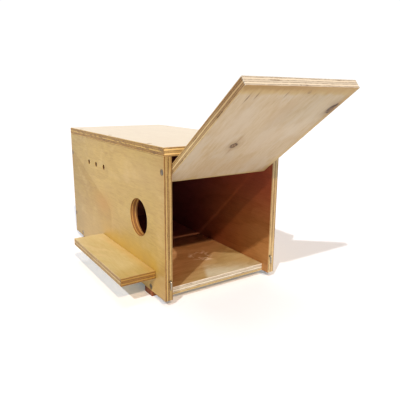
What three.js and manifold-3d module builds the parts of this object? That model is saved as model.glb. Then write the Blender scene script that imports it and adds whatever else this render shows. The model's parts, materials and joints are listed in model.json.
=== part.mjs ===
// Plywood nesting box for cavity-nesting birds: a long box with a round
// entrance hole and a landing board on one side, and an end hatch that swings
// up on two screws and is held shut by two bent hooks.
//
// Units are millimetres, +Z is up. The box is drawn with the hatch end at
// x = 0 and running to x = -LENGTH, the entrance wall's outer face at y = 0,
// and the lower edges of the walls at z = 0. At the end the whole object is
// moved so that its origin is the centre of its footprint on the ground.

import * as THREE from 'three';
import { mergeVertices } from 'three/addons/utils/BufferGeometryUtils.js';
import Module from 'manifold-3d';

const wasm = await Module();
wasm.setup();

// ---------------------------------------------------------------- dimensions
const PLY = 12;              // thickness of every panel
const LENGTH = 386;          // along x
const WIDTH = 200;           // along y, over the walls
const WALL_H = 202;          // height of the walls, the roof lies on top
const SEAM = 0.1;            // glue line between fixed panels

const FLOOR_SETBACK = 14;    // the floor stops short so the hatch can close

const HATCH_SIDE_GAP = 0.8;  // between hatch and wall, each side
const HATCH_PIVOT_BACK = 6.4;// pivot axis behind the front plane
const HATCH_PIVOT_Z = 181;   // pivot axis above the walls' lower edge
const HATCH_ABOVE = 19.8;    // hatch above its pivot
const HATCH_BELOW = 185;     // hatch below its pivot
const HATCH_OPEN_DEG = 127.5;// how far the hatch is open as stored

const ENTRANCE_D = 57;       // entrance hole
const ENTRANCE_X = -80.7;
const ENTRANCE_Z = 102.5;
const VENT_D = 8.5;          // three vent holes in a row
const VENT_X = [-286, -250, -213.8];
const VENT_Z = 158.6;

const BOARD_LENGTH = 201;    // landing board, along x
const BOARD_X_NEAR = -28;
const BOARD_DEPTH = 53;      // how far it stands out
const BOARD_TOP_Z = 36.5;

const BATTEN_H = 9;          // two battens under the floor
const BATTEN_W = 23;
const BATTEN_X_FRONT = -41.5;// front face of the front batten
const BATTEN_X_REAR = -321.5;// front face of the rear batten

const SCREW_HEAD_R = 3.5;    // countersunk wood screws
const SCREW_HEAD_H = 2.1;
const SCREW_SHANK_R = 1.6;
const SCREW_RECESS = 0.35;   // head top below the surface
const SCREW_GAP = 0.35;      // room round a screw in its hole
const LONG_SCREW = 32;       // through a panel into another's edge
const SHORT_SCREW = 17;      // through a batten into the floor

const HOOK_WIRE_R = 1.2;     // square-bend screw hooks
const HOOK_ARM = 11;         // from the shank's axis to the arm's end
const HOOK_STAND = 2.4;      // arm's axis in front of the front plane
const HOOK_BEND_R = 2.2;
const HOOK_DEPTH = 16;       // shank inside the wall
const HOOK_FROM_INSIDE = 3.8;// shank's axis to the wall's inner face
const HOOK_Z = 28.5;
const HOOK_HOLE_GAP = 0.3;

// ----------------------------------------------------------------- materials
const wood = (color) => new THREE.MeshStandardMaterial({ color, roughness: 0.6, metalness: 0 });
const steel = (color) => new THREE.MeshStandardMaterial({ color, roughness: 0.4, metalness: 1 });
const PLYWOOD = 0xd8b787, PLYWOOD_PALE = 0xe2cdb0, HARDWOOD = 0x8a5230;
const ZINC = 0x8d8a84, BRASSED = 0x7c6a4c;

// ------------------------------------------------------------ solid modelling
function solid(geometry) {
  const g = geometry.clone();
  for (const name of Object.keys(g.attributes)) if (name !== 'position') g.deleteAttribute(name);
  const merged = mergeVertices(g, 1e-4);
  return new wasm.Manifold(new wasm.Mesh({
    numProp: 3,
    vertProperties: new Float32Array(merged.attributes.position.array),
    triVerts: new Uint32Array(merged.index.array),
  }));
}

function toGeometry(manifold) {
  const mesh = manifold.getMesh();
  const g = new THREE.BufferGeometry();
  g.setAttribute('position', new THREE.BufferAttribute(new Float32Array(mesh.vertProperties), 3));
  g.setIndex(new THREE.BufferAttribute(new Uint32Array(mesh.triVerts), 1));
  g.computeVertexNormals();
  return g;
}

// Turns a shape drawn along +Y (a lathe's axis) so that it runs along dir,
// and moves its origin to the point at.
function aim(geometry, dir, at) {
  const q = new THREE.Quaternion().setFromUnitVectors(new THREE.Vector3(0, 1, 0), new THREE.Vector3(...dir).normalize());
  return geometry.clone().applyQuaternion(q).translate(...at);
}

const lathe = (profile, sides) => new THREE.LatheGeometry(profile.map(([r, y]) => new THREE.Vector2(r, y)), sides);

// A screw points along -Y from its head: the surface it enters is at y = 0.
function screwGeometry(length, sides = 12) {
  const top = -SCREW_RECESS;
  return lathe([
    [0, -length],
    [SCREW_SHANK_R, -length + 3.5],
    [SCREW_SHANK_R, top - SCREW_HEAD_H],
    [SCREW_HEAD_R, top - 0.3],
    [SCREW_HEAD_R, top],
    [0, top],
  ], sides);
}

function screwHoleGeometry(length, sides = 12) {
  const g = SCREW_GAP, top = -SCREW_RECESS;
  return lathe([
    [0, -length - 0.5],
    [SCREW_SHANK_R + g, -length - 0.5],
    [SCREW_SHANK_R + g, top - SCREW_HEAD_H - g * 0.6],
    [SCREW_HEAD_R + g + 0.1, top - 0.3 - g * 0.6],
    [SCREW_HEAD_R + g + 0.1, 2],
    [0, 2],
  ], sides);
}

// A straight round hole through the wall, along y, from y0 to y1.
function boreAlongY(diameter, x, z, y0, y1, sides) {
  return new THREE.CylinderGeometry(diameter / 2, diameter / 2, y1 - y0, sides).translate(x, (y0 + y1) / 2, z);
}

// A rectangular panel from lo to hi with cutters taken out of it, as a mesh
// whose geometry is centred on the panel and placed by its position.
function panel(name, lo, hi, color, cutters = [], frame = [0, 0, 0]) {
  const size = hi.map((v, i) => v - lo[i]);
  const mid = hi.map((v, i) => (v + lo[i]) / 2);
  let body = solid(new THREE.BoxGeometry(...size));
  for (const c of cutters) body = body.subtract(solid(c.clone().translate(-mid[0], -mid[1], -mid[2])));
  const mesh = new THREE.Mesh(toGeometry(body), wood(color));
  mesh.name = name;
  mesh.position.set(mid[0] - frame[0], mid[1] - frame[1], mid[2] - frame[2]);
  return mesh;
}

// ------------------------------------------------------------------ fasteners
// Each entry: name, head point on the surface, direction out of the head.
const LEFT = [0, -1, 0], RIGHT = [0, 1, 0], UP = [0, 0, 1], DOWN = [0, 0, -1];
const endX = -LENGTH + PLY / 2;
const floorZ = PLY / 2;
const roofTop = WALL_H + SEAM + PLY;

const endScrews = [
  ['end_screw_left_upper', [endX, 0, 165], LEFT],
  ['end_screw_left_lower', [endX, 0, 40], LEFT],
  ['end_screw_right_upper', [endX, WIDTH, 165], RIGHT],
  ['end_screw_right_lower', [endX, WIDTH, 40], RIGHT],
];
const floorScrews = [
  ['floor_screw_left_front', [-44, 0, floorZ], LEFT],
  ['floor_screw_left_middle', [-193, 0, floorZ], LEFT],
  ['floor_screw_left_rear', [-345, 0, floorZ], LEFT],
  ['floor_screw_right_front', [-44, WIDTH, floorZ], RIGHT],
  ['floor_screw_right_middle', [-193, WIDTH, floorZ], RIGHT],
  ['floor_screw_right_rear', [-345, WIDTH, floorZ], RIGHT],
];
const roofScrews = [
  ['roof_screw_left_front', [-52, PLY / 2, roofTop], UP],
  ['roof_screw_left_middle', [-193, PLY / 2, roofTop], UP],
  ['roof_screw_left_rear', [-336, PLY / 2, roofTop], UP],
  ['roof_screw_right_front', [-52, WIDTH - PLY / 2, roofTop], UP],
  ['roof_screw_right_middle', [-193, WIDTH - PLY / 2, roofTop], UP],
  ['roof_screw_right_rear', [-336, WIDTH - PLY / 2, roofTop], UP],
];
const boardZ = BOARD_TOP_Z - PLY / 2;
const boardScrews = [
  ['landing_board_screw_front', [BOARD_X_NEAR - 42, PLY, boardZ], RIGHT],
  ['landing_board_screw_rear', [BOARD_X_NEAR - BOARD_LENGTH + 42, PLY, boardZ], RIGHT],
];
const frontBattenX = BATTEN_X_FRONT - BATTEN_W / 2, rearBattenX = BATTEN_X_REAR - BATTEN_W / 2;
const battenScrews = [
  ['batten_screw_front_left', [frontBattenX, 50, -BATTEN_H], DOWN],
  ['batten_screw_front_right', [frontBattenX, WIDTH - 50, -BATTEN_H], DOWN],
  ['batten_screw_rear_left', [rearBattenX, 50, -BATTEN_H], DOWN],
  ['batten_screw_rear_right', [rearBattenX, WIDTH - 50, -BATTEN_H], DOWN],
];
const pivotScrews = [
  ['pivot_screw_left', [-HATCH_PIVOT_BACK, 0, HATCH_PIVOT_Z], LEFT],
  ['pivot_screw_right', [-HATCH_PIVOT_BACK, WIDTH, HATCH_PIVOT_Z], RIGHT],
];

const longHole = screwHoleGeometry(LONG_SCREW), shortHole = screwHoleGeometry(SHORT_SCREW);
const holesFor = (list, hole) => list.map(([, at, out]) => aim(hole, out, at));
const endHoles = holesFor(endScrews, longHole);
const floorHoles = holesFor(floorScrews, longHole);
const roofHoles = holesFor(roofScrews, longHole);
const boardHoles = holesFor(boardScrews, longHole);
const battenHoles = holesFor(battenScrews, shortHole);
const pivotHoles = holesFor(pivotScrews, screwHoleGeometry(LONG_SCREW, 16));
const side = (list, holes, word) => holes.filter((_, i) => list[i][0].includes(word));

function screws(list, length, sides) {
  return list.map(([name, at, out]) => {
    const mesh = new THREE.Mesh(toGeometry(solid(screwGeometry(length, sides))), steel(ZINC));
    mesh.name = name;
    mesh.position.set(...at);
    mesh.quaternion.setFromUnitVectors(new THREE.Vector3(0, 1, 0), new THREE.Vector3(...out));
    return mesh;
  });
}

// ---------------------------------------------------------------------- hooks
// The shank's hole runs back into the wall's front edge.
const hookY = { left: PLY - HOOK_FROM_INSIDE, right: WIDTH - PLY + HOOK_FROM_INSIDE };
const hookHole = (y) => aim(
  new THREE.CylinderGeometry(HOOK_WIRE_R + HOOK_HOLE_GAP, HOOK_WIRE_R + HOOK_HOLE_GAP, HOOK_DEPTH + 2.5, 16),
  [1, 0, 0], [-(HOOK_DEPTH + 0.5) + (HOOK_DEPTH + 2.5) / 2, y, HOOK_Z]);

class HookCurve extends THREE.Curve {
  // Out along +x from the shank's inner end, then a bend down to the arm.
  getPoint(t, target = new THREE.Vector3()) {
    const straight = HOOK_DEPTH + HOOK_STAND - HOOK_BEND_R;
    const arc = HOOK_BEND_R * Math.PI / 2;
    const arm = HOOK_ARM - HOOK_BEND_R;
    let s = t * (straight + arc + arm);
    if (s <= straight) return target.set(-HOOK_DEPTH + s, 0, 0);
    s -= straight;
    const cx = HOOK_STAND - HOOK_BEND_R;
    if (s <= arc) {
      const a = s / HOOK_BEND_R;
      return target.set(cx + HOOK_BEND_R * Math.sin(a), 0, -HOOK_BEND_R + HOOK_BEND_R * Math.cos(a));
    }
    s -= arc;
    return target.set(HOOK_STAND, 0, -HOOK_BEND_R - s);
  }
}

function hook(name, y) {
  const section = new THREE.Shape();
  for (let i = 0; i < 10; i++) {
    const a = (i / 10) * Math.PI * 2;
    const x = HOOK_WIRE_R * Math.cos(a), z = HOOK_WIRE_R * Math.sin(a);
    if (i === 0) section.moveTo(x, z); else section.lineTo(x, z);
  }
  section.closePath();
  const g = new THREE.ExtrudeGeometry(section, { steps: 26, bevelEnabled: false, extrudePath: new HookCurve() });
  const mesh = new THREE.Mesh(toGeometry(solid(g)), steel(BRASSED));
  mesh.name = name;
  mesh.position.set(0, y, HOOK_Z);
  return mesh;
}

// --------------------------------------------------------------------- panels
const box = new THREE.Group();

box.add(panel('entrance_wall', [-LENGTH, 0, 0], [0, PLY, WALL_H], PLYWOOD, [
  boreAlongY(ENTRANCE_D, ENTRANCE_X, ENTRANCE_Z, -2, PLY + 2, 48),
  ...VENT_X.map((x) => boreAlongY(VENT_D, x, VENT_Z, -2, PLY + 2, 24)),
  ...side(endScrews, endHoles, 'left'), ...side(floorScrews, floorHoles, 'left'),
  ...side(roofScrews, roofHoles, 'left'), ...boardHoles,
  pivotHoles[0], hookHole(hookY.left),
]));
box.add(panel('rear_wall', [-LENGTH, WIDTH - PLY, 0], [0, WIDTH, WALL_H], PLYWOOD, [
  ...side(endScrews, endHoles, 'right'), ...side(floorScrews, floorHoles, 'right'),
  ...side(roofScrews, roofHoles, 'right'), pivotHoles[1], hookHole(hookY.right),
]));
box.add(panel('end_panel', [-LENGTH, PLY + SEAM, 0], [-LENGTH + PLY, WIDTH - PLY - SEAM, WALL_H], PLYWOOD, endHoles));
box.add(panel('floor_panel', [-LENGTH + PLY + SEAM, PLY + SEAM, 0], [-FLOOR_SETBACK, WIDTH - PLY - SEAM, PLY],
  PLYWOOD, [...floorHoles, ...battenHoles]));
box.add(panel('roof_panel', [-LENGTH, 0, WALL_H + SEAM], [0, WIDTH, roofTop], PLYWOOD, roofHoles));
box.add(panel('landing_board', [BOARD_X_NEAR - BOARD_LENGTH, -BOARD_DEPTH, BOARD_TOP_Z - PLY],
  [BOARD_X_NEAR, -SEAM, BOARD_TOP_Z], PLYWOOD, boardHoles));
box.add(panel('front_batten', [BATTEN_X_FRONT - BATTEN_W, 0, -BATTEN_H], [BATTEN_X_FRONT, WIDTH, -SEAM],
  HARDWOOD, battenHoles.slice(0, 2)));
box.add(panel('rear_batten', [BATTEN_X_REAR - BATTEN_W, 0, -BATTEN_H], [BATTEN_X_REAR, WIDTH, -SEAM],
  HARDWOOD, battenHoles.slice(2)));

box.add(...screws(endScrews, LONG_SCREW), ...screws(floorScrews, LONG_SCREW), ...screws(roofScrews, LONG_SCREW),
  ...screws(boardScrews, LONG_SCREW), ...screws(battenScrews, SHORT_SCREW));

box.add(hook('hook_left', hookY.left), hook('hook_right', hookY.right));

// ---------------------------------------------------------------------- hatch
// Drawn closed about its pivot axis, then swung open about it. The two pivot
// screws are fast in the hatch's side edges and turn in the walls.
const pivot = [-HATCH_PIVOT_BACK, WIDTH / 2, HATCH_PIVOT_Z];
const hatch = new THREE.Group();
hatch.position.set(...pivot);
hatch.rotation.y = -THREE.MathUtils.degToRad(HATCH_OPEN_DEG);
hatch.add(panel('hatch_panel',
  [pivot[0] - PLY / 2, PLY + HATCH_SIDE_GAP, pivot[2] - HATCH_BELOW],
  [pivot[0] + PLY / 2, WIDTH - PLY - HATCH_SIDE_GAP, pivot[2] + HATCH_ABOVE],
  PLYWOOD_PALE, pivotHoles, pivot));
for (const s of screws(pivotScrews, LONG_SCREW, 16)) {
  s.position.sub(hatch.position);
  hatch.add(s);
}
box.add(hatch);

// The origin: centre of the footprint of the object as stored, on the ground.
box.updateMatrixWorld(true);
const extent = new THREE.Box3().setFromObject(box, true);
const root = new THREE.Group();
box.position.set(-(extent.min.x + extent.max.x) / 2, -(extent.min.y + extent.max.y) / 2, -extent.min.z);
root.add(box);

export default root;
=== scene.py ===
# Looks for the plywood nesting box: detailed boards with rounded arrises and
# real ply edges, threaded screws, bent wire hooks, and procedural materials,
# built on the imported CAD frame.
import bpy, bmesh, json, math
import numpy as np
from mathutils import Matrix, Vector


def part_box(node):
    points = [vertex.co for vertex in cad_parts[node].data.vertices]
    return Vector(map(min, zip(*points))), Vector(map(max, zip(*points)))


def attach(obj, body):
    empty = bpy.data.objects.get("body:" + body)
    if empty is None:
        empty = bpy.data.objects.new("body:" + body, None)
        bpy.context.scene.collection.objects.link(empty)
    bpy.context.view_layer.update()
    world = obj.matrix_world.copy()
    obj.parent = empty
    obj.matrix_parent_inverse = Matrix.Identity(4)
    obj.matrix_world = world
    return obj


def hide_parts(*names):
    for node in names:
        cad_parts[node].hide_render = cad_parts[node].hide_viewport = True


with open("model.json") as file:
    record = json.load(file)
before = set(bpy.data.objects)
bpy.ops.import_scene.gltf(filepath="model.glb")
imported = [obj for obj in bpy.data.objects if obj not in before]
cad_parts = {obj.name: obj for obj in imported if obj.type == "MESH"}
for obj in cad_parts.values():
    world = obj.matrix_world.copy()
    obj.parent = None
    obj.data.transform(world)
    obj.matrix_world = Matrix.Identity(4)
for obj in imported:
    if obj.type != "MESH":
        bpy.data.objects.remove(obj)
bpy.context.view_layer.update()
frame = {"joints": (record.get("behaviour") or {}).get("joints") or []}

MM = 0.001
# The box's own corner: front plane, entrance wall's outer face, walls' lower edge.
_wlo, _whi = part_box("entrance_wall")
OX, OY, OZ = _whi[0], _wlo[1], _wlo[2]
LENGTH = _whi[0] - _wlo[0]
WALL_H = _whi[2] - _wlo[2]
_rlo, _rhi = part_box("rear_wall")
WIDTH = _rhi[1] - OY
PLY = _whi[1] - _wlo[1]
HINGE = next(j for j in frame["joints"] if j["name"] == "hatch_hinge")
PIVOT = Vector(HINGE["pos_m"])
OPEN = math.radians(-HINGE["range_deg"][0])   # how far the hatch is open at rest


def B(x, y, z):
    """A point given in mm from the box's own corner, in the row frame."""
    return Vector((OX + x * MM, OY + y * MM, OZ + z * MM))


# ------------------------------------------------------------------ mesh tools
def new_object(name, mesh):
    o = bpy.data.objects.new(name, mesh)
    bpy.context.scene.collection.objects.link(o)
    return o


def rounded_box(lo, hi, arris, segments=3):
    bm = bmesh.new()
    bmesh.ops.create_cube(bm, size=1.0)
    size = Vector(hi) - Vector(lo)
    mid = (Vector(hi) + Vector(lo)) / 2
    for v in bm.verts:
        v.co = Vector((v.co.x * size.x, v.co.y * size.y, v.co.z * size.z)) + mid
    bmesh.ops.bevel(bm, geom=list(bm.edges), offset=arris, offset_type="OFFSET", segments=segments,
                    profile=0.5, affect="EDGES", clamp_overlap=True)
    return bm


def lathe(profile, sides, at=(0, 0, 0), along=(0, 0, 1)):
    """A closed turned solid. profile is [(radius, height)], from an end on the axis to the other."""
    bm = bmesh.new()
    q = Vector((0, 0, 1)).rotation_difference(Vector(along).normalized())
    rings = []
    for r, h in profile:
        if r < 1e-9:
            rings.append([bm.verts.new(q @ Vector((0, 0, h)) + Vector(at))])
        else:
            rings.append([bm.verts.new(q @ Vector((r * math.cos(2 * math.pi * i / sides), r * math.sin(2 * math.pi * i / sides), h)) + Vector(at))
                          for i in range(sides)])
    for a, b in zip(rings, rings[1:]):
        if len(a) == 1 and len(b) == 1:
            continue
        for i in range(sides):
            j = (i + 1) % sides
            if len(a) == 1:
                bm.faces.new((a[0], b[j], b[i]))
            elif len(b) == 1:
                bm.faces.new((a[i], a[j], b[0]))
            else:
                bm.faces.new((a[i], a[j], b[j], b[i]))
    bmesh.ops.recalc_face_normals(bm, faces=bm.faces)
    return bm


def to_mesh(bm, name):
    mesh = bpy.data.meshes.new(name)
    bm.to_mesh(mesh)
    bm.free()
    return mesh


def subtract(obj, cutters):
    """Cuts the cutters, a list of bmeshes, out of obj and bakes the result into its mesh."""
    if not cutters:
        return
    temp = []
    coll = bpy.data.collections.new("cutters")
    bpy.context.scene.collection.children.link(coll)
    for c in cutters:
        o = bpy.data.objects.new("cutter", to_mesh(c, "cutter"))
        coll.objects.link(o)
        temp.append(o)
    m = obj.modifiers.new("cut", "BOOLEAN")
    m.operation, m.solver = "DIFFERENCE", "EXACT"
    m.operand_type, m.collection = "COLLECTION", coll
    apply_modifiers(obj)
    for o in temp:
        me = o.data
        bpy.data.objects.remove(o)
        bpy.data.meshes.remove(me)
    bpy.data.collections.remove(coll)


def apply_modifiers(obj):
    dg = bpy.context.evaluated_depsgraph_get()
    dg.update()
    mesh = bpy.data.meshes.new_from_object(obj.evaluated_get(dg), preserve_all_data_layers=True, depsgraph=dg)
    old = obj.data
    obj.modifiers.clear()
    obj.data = mesh
    mesh.name = obj.name
    bpy.data.meshes.remove(old)


def soften(obj, angle=32):
    """Smooth shading over rounded parts, with flat faces kept flat."""
    me = obj.data
    me.shade_smooth()
    me.set_sharp_from_angle(angle=math.radians(angle))
    m = obj.modifiers.new("wn", "WEIGHTED_NORMAL")
    m.mode, m.weight, m.keep_sharp = "FACE_AREA", 50, True
    apply_modifiers(obj)


def board_coordinates(obj, origin, axes):
    """Writes each point's place on its board (along the grain, across it, through the thickness) as the
    attribute pc, in metres, and each corner's face direction in the same axes as pn."""
    me = obj.data
    n = len(me.vertices)
    co = np.empty(n * 3)
    me.vertices.foreach_get("co", co)
    co = co.reshape(-1, 3) - np.array(origin)
    A = np.array(axes, float)
    pc = me.attributes.new("pc", "FLOAT_VECTOR", "POINT")
    pc.data.foreach_set("vector", (co @ A.T).astype(np.float32).ravel())
    nrm = np.empty(len(me.polygons) * 3)
    me.polygons.foreach_get("normal", nrm)
    nrm = np.abs(nrm.reshape(-1, 3) @ A.T)
    tot = np.empty(len(me.polygons), np.int32)
    me.polygons.foreach_get("loop_total", tot)
    pn = me.attributes.new("pn", "FLOAT_VECTOR", "CORNER")
    pn.data.foreach_set("vector", np.repeat(nrm, tot, axis=0).astype(np.float32).ravel())


# ------------------------------------------------------------------- materials
class Nodes:
    """A short way to write a material's node tree."""

    def __init__(self, name):
        self.mat = bpy.data.materials.new(name)
        self.mat.use_nodes = True
        self.t = self.mat.node_tree
        self.t.nodes.clear()
        self.out = self.t.nodes.new("ShaderNodeOutputMaterial")
        self.bsdf = self.t.nodes.new("ShaderNodeBsdfPrincipled")
        self.t.links.new(self.bsdf.outputs[0], self.out.inputs[0])

    def put(self, socket, value):
        if isinstance(value, bpy.types.NodeSocket):
            self.t.links.new(value, socket)
        elif value is not None:
            socket.default_value = value

    def math(self, op, a, b=None, c=None, clamp=False):
        n = self.t.nodes.new("ShaderNodeMath")
        n.operation, n.use_clamp = op, clamp
        for i, v in enumerate((a, b, c)):
            if v is not None:
                self.put(n.inputs[i], v)
        return n.outputs[0]

    def add(self, a, b): return self.math("ADD", a, b)
    def sub(self, a, b): return self.math("SUBTRACT", a, b)
    def mul(self, a, b): return self.math("MULTIPLY", a, b)
    def div(self, a, b): return self.math("DIVIDE", a, b)
    def mn(self, a, b): return self.math("MINIMUM", a, b)
    def mx(self, a, b): return self.math("MAXIMUM", a, b)

    def step(self, x, lo, hi, a=0.0, b=1.0):
        """Smooth step of x from lo to hi, giving a to b."""
        n = self.t.nodes.new("ShaderNodeMapRange")
        n.interpolation_type = "SMOOTHSTEP"
        for i, v in enumerate((x, lo, hi, a, b)):
            self.put(n.inputs[i], v)
        return n.outputs[0]

    def attr(self, name):
        n = self.t.nodes.new("ShaderNodeAttribute")
        n.attribute_name = name
        return n.outputs["Vector"]

    def split(self, v):
        n = self.t.nodes.new("ShaderNodeSeparateXYZ")
        self.put(n.inputs[0], v)
        return n.outputs[0], n.outputs[1], n.outputs[2]

    def vec(self, x, y, z):
        n = self.t.nodes.new("ShaderNodeCombineXYZ")
        for i, v in enumerate((x, y, z)):
            self.put(n.inputs[i], v)
        return n.outputs[0]

    def noise(self, vector, scale=1.0, detail=2.0, rough=0.5, distortion=0.0, lac=2.0):
        n = self.t.nodes.new("ShaderNodeTexNoise")
        self.put(n.inputs["Vector"], vector)
        self.put(n.inputs["Scale"], scale)
        self.put(n.inputs["Detail"], detail)
        self.put(n.inputs["Roughness"], rough)
        self.put(n.inputs["Lacunarity"], lac)
        self.put(n.inputs["Distortion"], distortion)
        return n.outputs[0]

    def mix(self, f, a, b, blend="MIX"):
        n = self.t.nodes.new("ShaderNodeMix")
        n.data_type, n.blend_type = "RGBA", blend
        n.clamp_factor = True
        self.put(n.inputs[0], f)
        self.put(n.inputs[6], a)
        self.put(n.inputs[7], b)
        return n.outputs[2]

    def ramp(self, f, stops, mode="LINEAR"):
        n = self.t.nodes.new("ShaderNodeValToRGB")
        n.color_ramp.interpolation = mode
        el = n.color_ramp.elements
        while len(el) > 1:
            el.remove(el[-1])
        el[0].position, el[0].color = stops[0][0], stops[0][1]
        for p, c in stops[1:]:
            e = el.new(p)
            e.color = c
        self.put(n.inputs[0], f)
        return n.outputs[0]

    def bump(self, height, distance, strength=1.0, normal=None):
        n = self.t.nodes.new("ShaderNodeBump")
        self.put(n.inputs["Height"], height)
        self.put(n.inputs["Distance"], distance)
        self.put(n.inputs["Strength"], strength)
        if normal is not None:
            self.put(n.inputs["Normal"], normal)
        return n.outputs[0]


def rgb(r, g, b):
    """An sRGB colour given 0-255, as linear RGBA."""
    def f(c):
        c /= 255
        return c / 12.92 if c <= 0.04045 else ((c + 0.055) / 1.055) ** 2.4
    return (f(r), f(g), f(b), 1.0)


def scale(c, k):
    return (c[0] * k, c[1] * k, c[2] * k, 1.0)


def plywood(name, size, seed, face, deep, edge_light, edge_dark, figure=1.0, bare=None, bare_zone=None,
            knots=(), face_marks_light_and_shade=None, edge_marks_and_shade=None, lines=1.0, rings=9.0, rough=0.46, coat=0.18, streaks=()):
    """Five-ply board. size is (along grain, across, thickness) in mm. face and deep are the face veneer's light
    and dark colours. bare is (light, dark) of a face left unvarnished, and bare_zone says on which side of the
    thickness it lies and how wide a varnished border it has: (side, at_low_u, at_high_u, at_sides)."""
    N = Nodes(name)
    U, V, T = size
    u, v, w = N.split(N.attr("pc"))
    u, v, w = N.mul(u, 1000.0), N.mul(v, 1000.0), N.mul(w, 1000.0)
    nu, nv, nw = N.split(N.attr("pn"))
    su, sv = N.add(u, 913.0 * seed), N.add(v, 577.0 * seed)
    back = N.step(w, T * 0.5 - 0.05, T * 0.5 + 0.05)          # 0 on one face veneer, 1 on the other
    fu, fv = N.add(su, N.mul(back, 431.0)), N.add(sv, N.mul(back, 283.0))

    # ---- wide, rotary-cut figure of the face veneer: contour lines of a slow field, pushed round the knots
    slow = N.noise(N.vec(N.mul(fu, 0.0042), N.mul(fv, 0.0125), 3.1 * seed), 1.0, 2.0, 0.45)
    field = N.mul(slow, rings)
    knot_dark = None
    knot_ring = None
    for (ku, kv, kr, stretch, strength, side) in knots:
        there = N.sub(1.0, back) if side == "low" else back
        strength = N.mul(there, strength)
        du, dv = N.sub(u, ku), N.sub(v, kv)
        wob = N.mul(N.sub(N.noise(N.vec(N.mul(su, 0.16), N.mul(sv, 0.16), 0.5), 1.0, 2.0), 0.5), kr * 0.55)
        d = N.add(N.math("SQRT", N.add(N.math("POWER", N.div(du, stretch), 2.0), N.math("POWER", dv, 2.0))), wob)
        d = N.mx(d, 0.0)
        push = N.math("EXPONENT", N.mul(N.math("POWER", N.div(d, kr * 2.6), 2.0), -1.0))
        field = N.add(field, N.mul(push, N.mul(strength, 1.6)))
        core = N.mul(N.step(d, kr * 0.55, kr * 1.0, 1.0, 0.0), strength)
        rim = N.mul(N.math("EXPONENT", N.mul(N.math("POWER", N.div(N.sub(d, kr * 0.78), kr * 0.26), 2.0), -1.0)), strength)
        broken = N.noise(N.vec(N.mul(su, 0.9 / kr), N.mul(sv, 0.9 / kr), 8.0), 1.0, 2.0, 0.6)
        rim = N.mul(rim, N.step(broken, 0.36, 0.56, 0.40, 1.0))
        check = N.mul(N.math("EXPONENT", N.mul(N.add(N.math("POWER", N.div(N.add(dv, N.mul(du, 0.35)), kr * 0.10), 2.0), N.math("POWER", N.div(du, kr * 0.7), 2.0)), -1.0)), N.mul(strength, 0.9))
        rim = N.mx(rim, check)
        tail = N.mul(N.math("EXPONENT", N.mul(N.add(N.math("POWER", N.div(du, kr * 2.6), 2.0), N.math("POWER", N.div(dv, kr * 0.34), 2.0)), -1.0)), N.mul(strength, 0.55))
        halo = N.mul(N.math("EXPONENT", N.mul(N.math("POWER", N.div(d, kr * 1.7), 2.0), -1.0)), N.mul(strength, 0.45))
        k1 = N.mx(N.mx(N.mul(core, 0.72), halo), tail)
        knot_dark = k1 if knot_dark is None else N.mx(knot_dark, k1)
        knot_ring = rim if knot_ring is None else N.mx(knot_ring, rim)
    saw = N.math("FRACT", field)
    late = N.mul(N.step(saw, 0.35, 0.93), N.step(saw, 0.93, 1.0, 1.0, 0.0))      # slow rise, sharp end of each ring
    # ---- fibres, flecks and mottling, as one solid texture for plies along u and one for plies along v
    fib_u = N.noise(N.vec(N.mul(su, 0.022), N.mul(sv, 0.85), N.mul(w, 0.9)), 1.0, 3.0, 0.62)
    fib_u2 = N.noise(N.vec(N.mul(su, 0.09), N.mul(sv, 3.2), N.mul(w, 2.2)), 1.0, 2.0, 0.6)
    fib_v = N.noise(N.vec(N.mul(su, 0.9), N.mul(sv, 0.022), N.mul(w, 0.9)), 1.0, 3.0, 0.62)
    fib_v2 = N.noise(N.vec(N.mul(su, 3.2), N.mul(sv, 0.09), N.mul(w, 2.2)), 1.0, 2.0, 0.6)
    fib_m = N.noise(N.vec(N.mul(fu, 0.055), N.mul(fv, 0.30), 3.0), 1.0, 3.0, 0.6, 0.4)
    mott = N.noise(N.vec(N.mul(fu, 0.011), N.mul(fv, 0.019), 7.7), 1.0, 3.0, 0.55)
    mott2 = N.noise(N.vec(N.mul(fu, 0.045), N.mul(fv, 0.06), 2.2), 1.0, 2.0, 0.5)
    pores = N.step(N.noise(N.vec(N.mul(fu, 0.12), N.mul(fv, 2.6), 5.0), 1.0, 1.0, 0.5), 0.70, 0.78)

    # ---- face colour
    k = N.add(N.mul(late, 0.42 * figure), N.mul(N.sub(mott, 0.5), 0.95 * figure))
    k = N.add(k, N.mul(N.sub(fib_u, 0.5), 1.15))
    k = N.add(k, N.mul(N.sub(fib_m, 0.5), 1.10))
    k = N.add(k, N.mul(N.sub(fib_u2, 0.5), 0.70))
    k = N.add(k, N.mul(pores, 0.22))
    k = N.math("ADD", k, 0.22, clamp=True)
    col = N.mix(k, face, deep)
    col = N.mix(N.mul(N.step(mott2, 0.52, 0.72), 0.30), col, (face[0] * 1.10, face[1] * 1.14, face[2] * 1.25, 1))
    varnished = None
    if bare is not None:
        side, lo_u, hi_u, edge = bare_zone
        bcol = N.mix(N.math("ADD", k, -0.04, clamp=True), bare[0], bare[1])
        grey = N.mul(N.step(N.noise(N.vec(N.mul(su, 0.012), N.mul(sv, 0.024), 11.0), 1.0, 3.0, 0.6), 0.46, 0.66), 0.60)
        bcol = N.mix(grey, bcol, (bare[0][0] * 0.98, bare[0][1] * 1.05, bare[0][2] * 1.20, 1))
        tan = N.mul(N.step(N.noise(N.vec(N.mul(su, 0.016), N.mul(sv, 0.034), 31.0), 1.0, 3.0, 0.65), 0.50, 0.72), 0.62)
        bcol = N.mix(tan, bcol, (bare[1][0] * 1.02, bare[1][1] * 0.98, bare[1][2] * 0.86, 1))
        wob = N.mul(N.sub(N.noise(N.vec(N.mul(su, 0.05), N.mul(sv, 0.07), 9.0), 1.0, 3.0), 0.5), 12.0)
        wob2 = N.mul(N.sub(N.noise(N.vec(N.mul(su, 0.02), N.mul(sv, 0.02), 4.0), 1.0, 3.0), 0.5), 12.0)
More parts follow.
